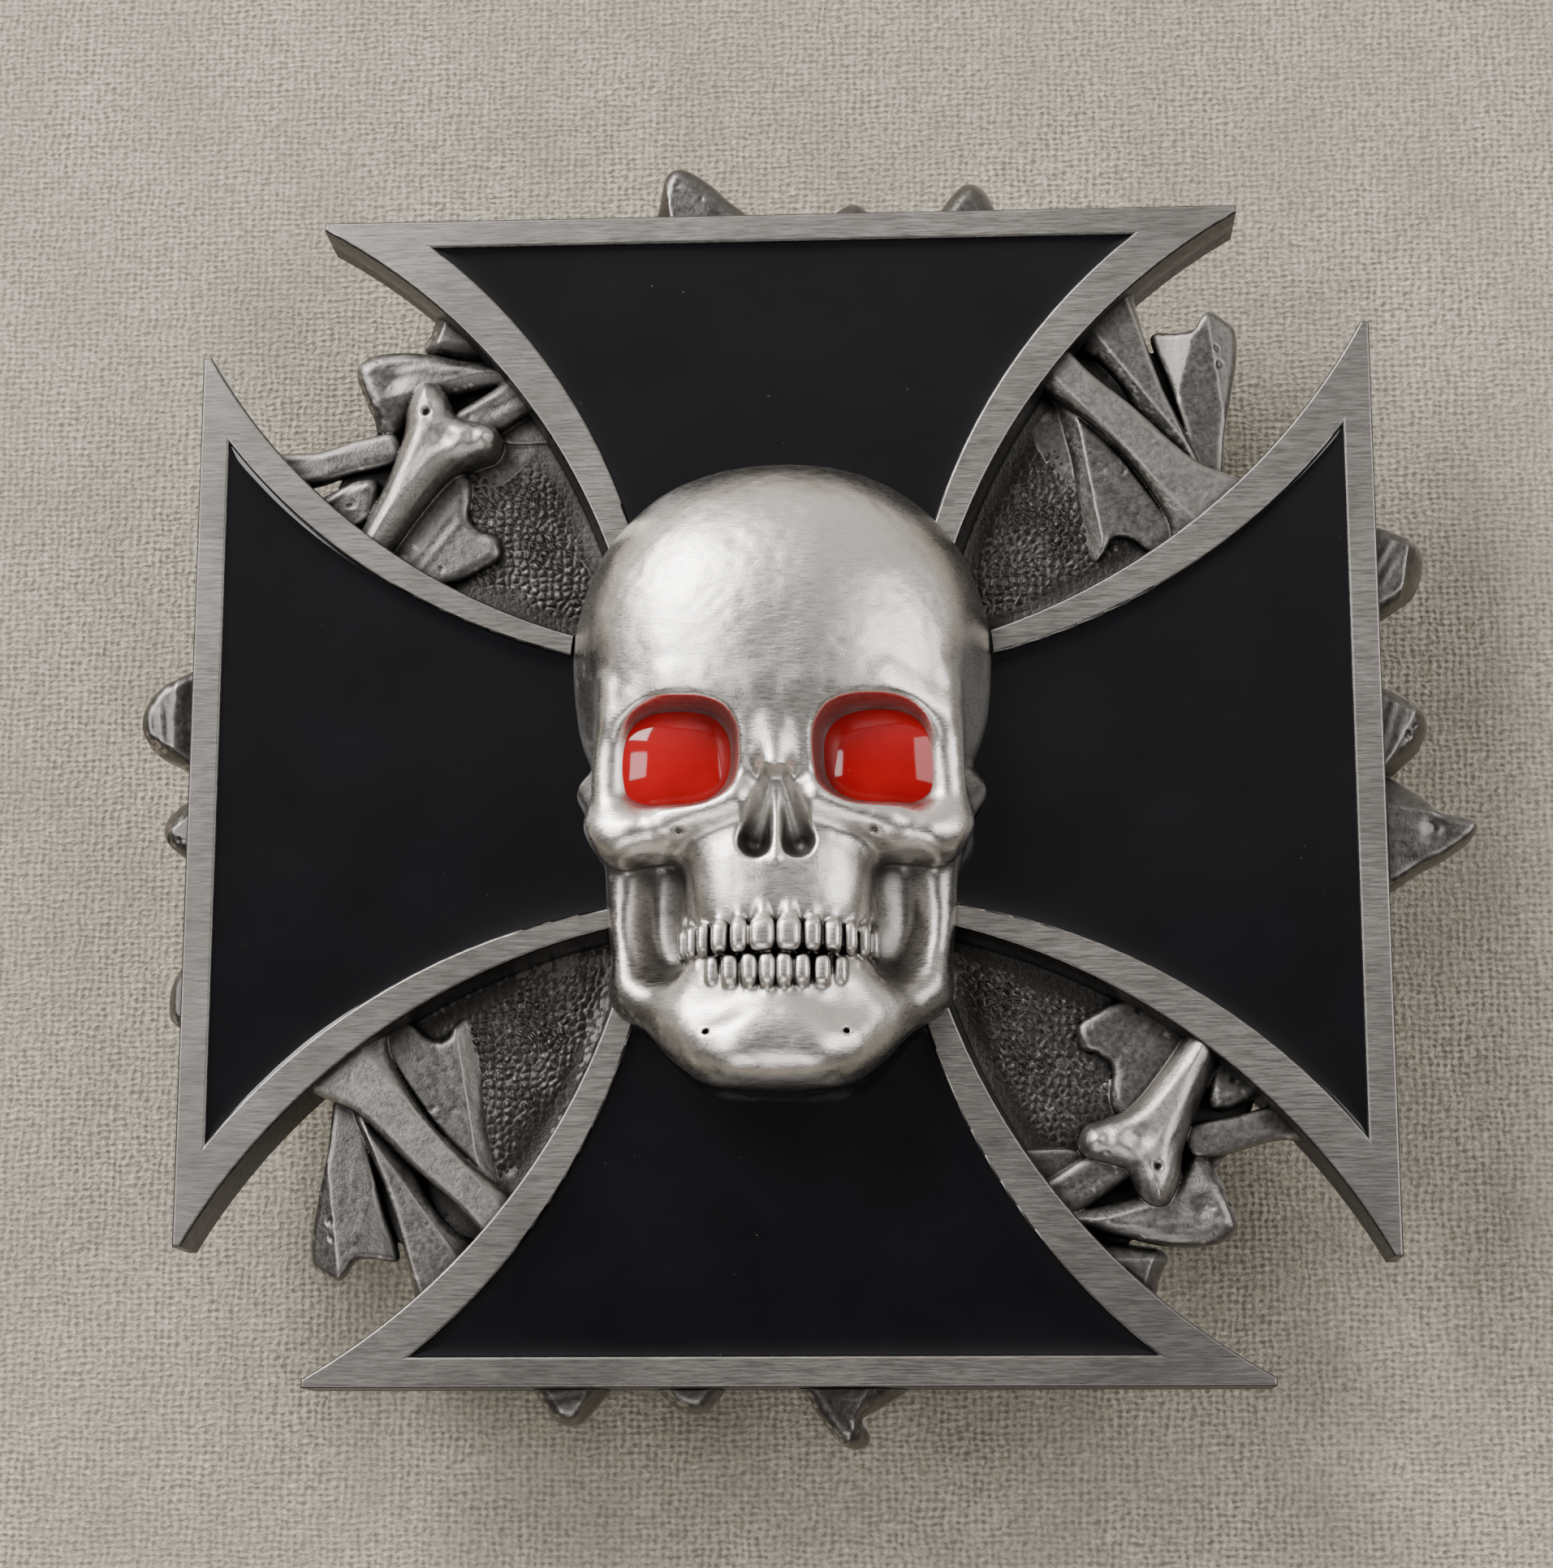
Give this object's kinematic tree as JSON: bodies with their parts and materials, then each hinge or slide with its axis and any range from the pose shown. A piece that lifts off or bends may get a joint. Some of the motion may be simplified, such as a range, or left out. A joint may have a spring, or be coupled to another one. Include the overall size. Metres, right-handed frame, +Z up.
{
  "type": "belt buckle",
  "caption": "Flared-cross belt buckle with enamelled arms, a skull and bones in relief, a back stud and a swinging wire belt loop.",
  "frame": {"origin": "centre of the cross on the flat back face", "axes": "+Z up as worn, +Y out of the back face towards the wearer, +X along the belt"},
  "size_m": [0.0945, 0.0231, 0.0932],
  "materials": {
    "pewter": "brushed antiqued pewter",
    "ground": "blackened pebbled casting",
    "bone_metal": "antiqued cast metal with worn edges",
    "skull_metal": "bright brushed pewter with blackened recesses",
    "black_enamel": "glossy poured enamel",
    "red_enamel": "glossy poured enamel",
    "steel": "plated steel"
  },
  "bodies": {
    "buckle": {"base_plate": "ground", "cross_frame": "pewter", "skull": "skull_metal", "bail_lug_upper": "steel", "bail_lug_lower": "steel", "belt_stud": "steel", "enamel_top": "black_enamel", "bone_ends_top": "bone_metal", "enamel_left": "black_enamel", "bone_ends_left": "bone_metal", "enamel_bottom": "black_enamel", "bone_ends_bottom": "bone_metal", "enamel_right": "black_enamel", "bone_ends_right": "bone_metal", "eye_enamel_left": "red_enamel", "eye_enamel_right": "red_enamel", "bones_upper_left": "bone_metal", "bones_upper_right": "bone_metal", "bones_lower_left": "bone_metal", "bones_lower_right": "bone_metal"},
    "belt_loop": {"belt_loop": "steel"}
  },
  "joints": [
    {"name": "loop_swing", "type": "hinge", "parent": "buckle", "child": "belt_loop", "pos_m": [-0.006, 0.0038, 0], "axis": [0, 0, 1], "range_deg": [-180, 0]}
  ]
}
